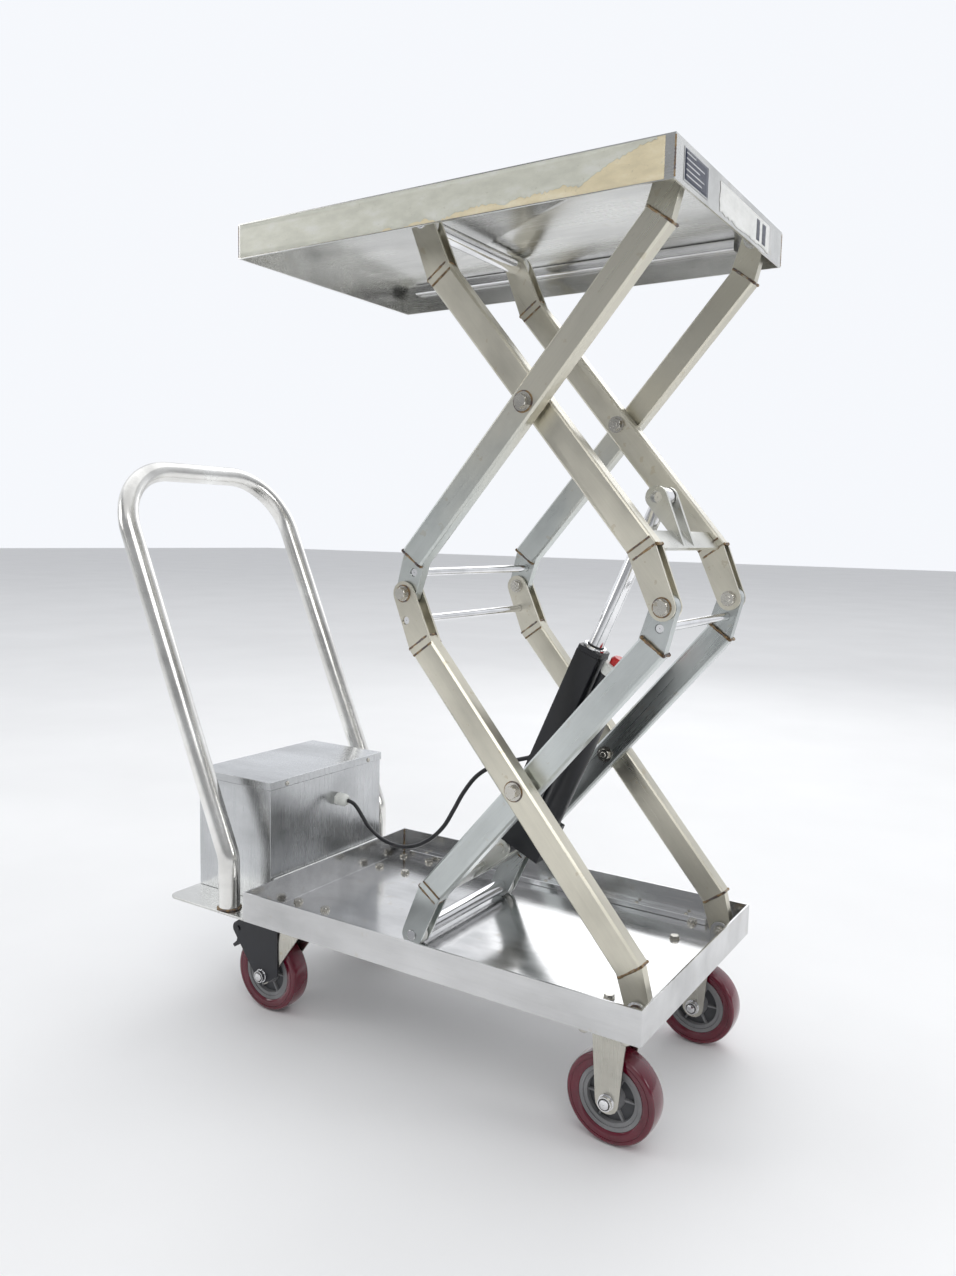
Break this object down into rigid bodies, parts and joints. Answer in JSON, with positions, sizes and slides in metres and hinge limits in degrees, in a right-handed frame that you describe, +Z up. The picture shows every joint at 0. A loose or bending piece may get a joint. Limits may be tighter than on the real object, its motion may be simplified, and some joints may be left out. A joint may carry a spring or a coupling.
{
  "type": "scissor lift table",
  "caption": "Electric double-scissor lift table on wheels, with a tray base, a flat platform, a push handle and a control box.",
  "frame": {"origin": "on the ground, at the middle of the table's overall length and width", "axes": "+X towards the fixed casters, away from the push handle; +Y towards the side that the nodes call right, which is the right-hand side as seen from the fixed casters, facing the push handle; +Z up"},
  "size_m": [1.0596, 0.435, 1.2678],
  "materials": {
    "sheet_steel": "brushed stainless sheet, lightly scuffed",
    "arm_steel": "satin stainless with a faint warm tint and brown weld marks",
    "handle_steel": "bright stainless tube",
    "bright_steel": "ground and polished steel",
    "pin_steel": "plain turned steel",
    "zinc_plate": "zinc plate, slightly stained",
    "brake_black": "satin black",
    "actuator_black": "satin black",
    "tread_red": "glossy burgundy polyurethane on a grey core",
    "roller_white": "off-white nylon",
    "gland_grey": "light grey plastic",
    "cable_black": "black cable jacket",
    "battery_black": "black battery case",
    "board_green": "green board in potting"
  },
  "bodies": {
    "base": {"base_tray": "sheet_steel", "rear_deck_plate": "sheet_steel", "guide_rail_left": "sheet_steel", "guide_rail_right": "sheet_steel", "base_pivot_pin_left": "pin_steel", "base_pivot_pin_right": "pin_steel", "push_handle": "handle_steel", "control_box": "sheet_steel", "box_lid": "sheet_steel", "battery": "battery_black", "motor_controller": "board_green", "cable_gland": "gland_grey", "actuator_cable": "cable_black", "fixed_fork_left": "zinc_plate", "fixed_fork_right": "zinc_plate", "swivel_plate_left": "zinc_plate", "swivel_plate_right": "zinc_plate"},
    "outer_lower_arms": {"outer_lower_arm_left": "arm_steel", "outer_lower_arm_right": "arm_steel", "outer_lower_tie_rod": "bright_steel", "lower_centre_pin_left": "pin_steel", "lower_centre_pin_right": "pin_steel", "rear_middle_pin_left": "pin_steel", "rear_middle_pin_right": "pin_steel"},
    "inner_lower_arms": {"inner_lower_arm_left": "arm_steel", "inner_lower_arm_right": "arm_steel", "inner_lower_tie_rod": "bright_steel", "lower_roller_shaft": "bright_steel", "actuator_lower_bracket": "arm_steel"},
    "outer_upper_arms": {"outer_upper_arm_left": "arm_steel", "outer_upper_arm_right": "arm_steel", "outer_upper_tie_rod": "bright_steel"},
    "inner_upper_arms": {"inner_upper_arm_left": "arm_steel", "inner_upper_arm_right": "arm_steel", "upper_roller_shaft": "bright_steel", "actuator_upper_bracket": "arm_steel", "upper_centre_pin_left": "pin_steel", "upper_centre_pin_right": "pin_steel", "front_middle_pin_left": "pin_steel", "front_middle_pin_right": "pin_steel"},
    "platform": {"platform_top": "sheet_steel", "platform_pivot_pin_left": "pin_steel", "platform_pivot_pin_right": "pin_steel"},
    "lower_rollers": {"lower_roller_left": "roller_white", "lower_roller_right": "roller_white"},
    "upper_rollers": {"upper_roller_left": "roller_white", "upper_roller_right": "roller_white"},
    "actuator_body": {"actuator_gear_motor": "actuator_black", "actuator_tube": "actuator_black"},
    "actuator_rod": {"actuator_piston_rod": "bright_steel"},
    "front_wheel_left": {"front_wheel_left": "tread_red"},
    "swivel_left": {"swivel_fork_left": "zinc_plate", "brake_cover_left": "brake_black"},
    "rear_wheel_left": {"rear_wheel_left": "tread_red"},
    "brake_left": {"brake_pedal_left": "brake_black"},
    "front_wheel_right": {"front_wheel_right": "tread_red"},
    "swivel_right": {"swivel_fork_right": "zinc_plate", "brake_cover_right": "brake_black"},
    "rear_wheel_right": {"rear_wheel_right": "tread_red"},
    "brake_right": {"brake_pedal_right": "brake_black"}
  },
  "joints": [
    {"name": "lift", "type": "hinge", "parent": "base", "child": "outer_lower_arms", "pos_m": [0.4975, 0, 0.1933], "axis": [0, -1, 0], "range_deg": [0, 39], "deforming": ["actuator_cable"]},
    {"name": "lower_scissor", "type": "hinge", "parent": "outer_lower_arms", "child": "inner_lower_arms", "pos_m": [0.30478, 0, 0.45661], "axis": [0, -1, 0], "range_deg": [-78, 0]},
    {"name": "rear_knee", "type": "hinge", "parent": "outer_lower_arms", "child": "outer_upper_arms", "pos_m": [0.11207, 0, 0.71992], "axis": [0, -1, 0], "range_deg": [-78, 0]},
    {"name": "upper_scissor", "type": "hinge", "parent": "outer_upper_arms", "child": "inner_upper_arms", "pos_m": [0.30478, 0, 0.98323], "axis": [0, -1, 0], "range_deg": [0, 78]},
    {"name": "platform_level", "type": "hinge", "parent": "outer_upper_arms", "child": "platform", "pos_m": [0.4975, 0, 1.24655], "axis": [0, -1, 0], "range_deg": [0, 39]},
    {"name": "lower_roller_spin", "type": "hinge", "parent": "inner_lower_arms", "child": "lower_rollers", "pos_m": [0.11207, 0, 0.1933], "axis": [0, 1, 0], "continuous": true},
    {"name": "upper_roller_spin", "type": "hinge", "parent": "inner_upper_arms", "child": "upper_rollers", "pos_m": [0.11207, 0, 1.24655], "axis": [0, 1, 0], "continuous": true},
    {"name": "actuator_tilt", "type": "hinge", "parent": "inner_lower_arms", "child": "actuator_body", "pos_m": [0.19374, 0, 0.3147], "axis": [0, -1, 0], "range_deg": [0, 1.79]},
    {"name": "actuator_stroke", "type": "slide", "parent": "actuator_body", "child": "actuator_rod", "axis": [-0.3999, 0, -0.9166], "range_m": [0, 0.19856]},
    {"name": "front_wheel_left_spin", "type": "hinge", "parent": "base", "child": "front_wheel_left", "pos_m": [0.465, -0.16, 0.065], "axis": [0, 1, 0], "continuous": true},
    {"name": "swivel_left_turn", "type": "hinge", "parent": "base", "child": "swivel_left", "pos_m": [-0.1215, -0.15, 0.15], "axis": [0, 0, 1], "continuous": true},
    {"name": "rear_wheel_left_spin", "type": "hinge", "parent": "swivel_left", "child": "rear_wheel_left", "pos_m": [-0.1725, -0.15, 0.065], "axis": [0, 1, 0], "continuous": true},
    {"name": "brake_left_press", "type": "hinge", "parent": "swivel_left", "child": "brake_left", "pos_m": [-0.2275, -0.15, 0.134], "axis": [0, -1, 0], "range_deg": [0, 8]},
    {"name": "front_wheel_right_spin", "type": "hinge", "parent": "base", "child": "front_wheel_right", "pos_m": [0.465, 0.16, 0.065], "axis": [0, 1, 0], "continuous": true},
    {"name": "swivel_right_turn", "type": "hinge", "parent": "base", "child": "swivel_right", "pos_m": [-0.1215, 0.15, 0.15], "axis": [0, 0, 1], "continuous": true},
    {"name": "rear_wheel_right_spin", "type": "hinge", "parent": "swivel_right", "child": "rear_wheel_right", "pos_m": [-0.1725, 0.15, 0.065], "axis": [0, 1, 0], "continuous": true},
    {"name": "brake_right_press", "type": "hinge", "parent": "swivel_right", "child": "brake_right", "pos_m": [-0.2275, 0.15, 0.134], "axis": [0, -1, 0], "range_deg": [0, 8]}
  ],
  "couplings": [
    {"joint": "lower_scissor", "follows": "lift", "ratio": -2},
    {"joint": "rear_knee", "follows": "lift", "ratio": -2},
    {"joint": "upper_scissor", "follows": "lift", "ratio": 2},
    {"joint": "platform_level", "follows": "lift", "ratio": 1},
    {"joint": "actuator_tilt", "follows": "lift", "ratio": 0.045438},
    {"joint": "actuator_stroke", "follows": "lift", "m_per_rad": 0.29141}
  ]
}
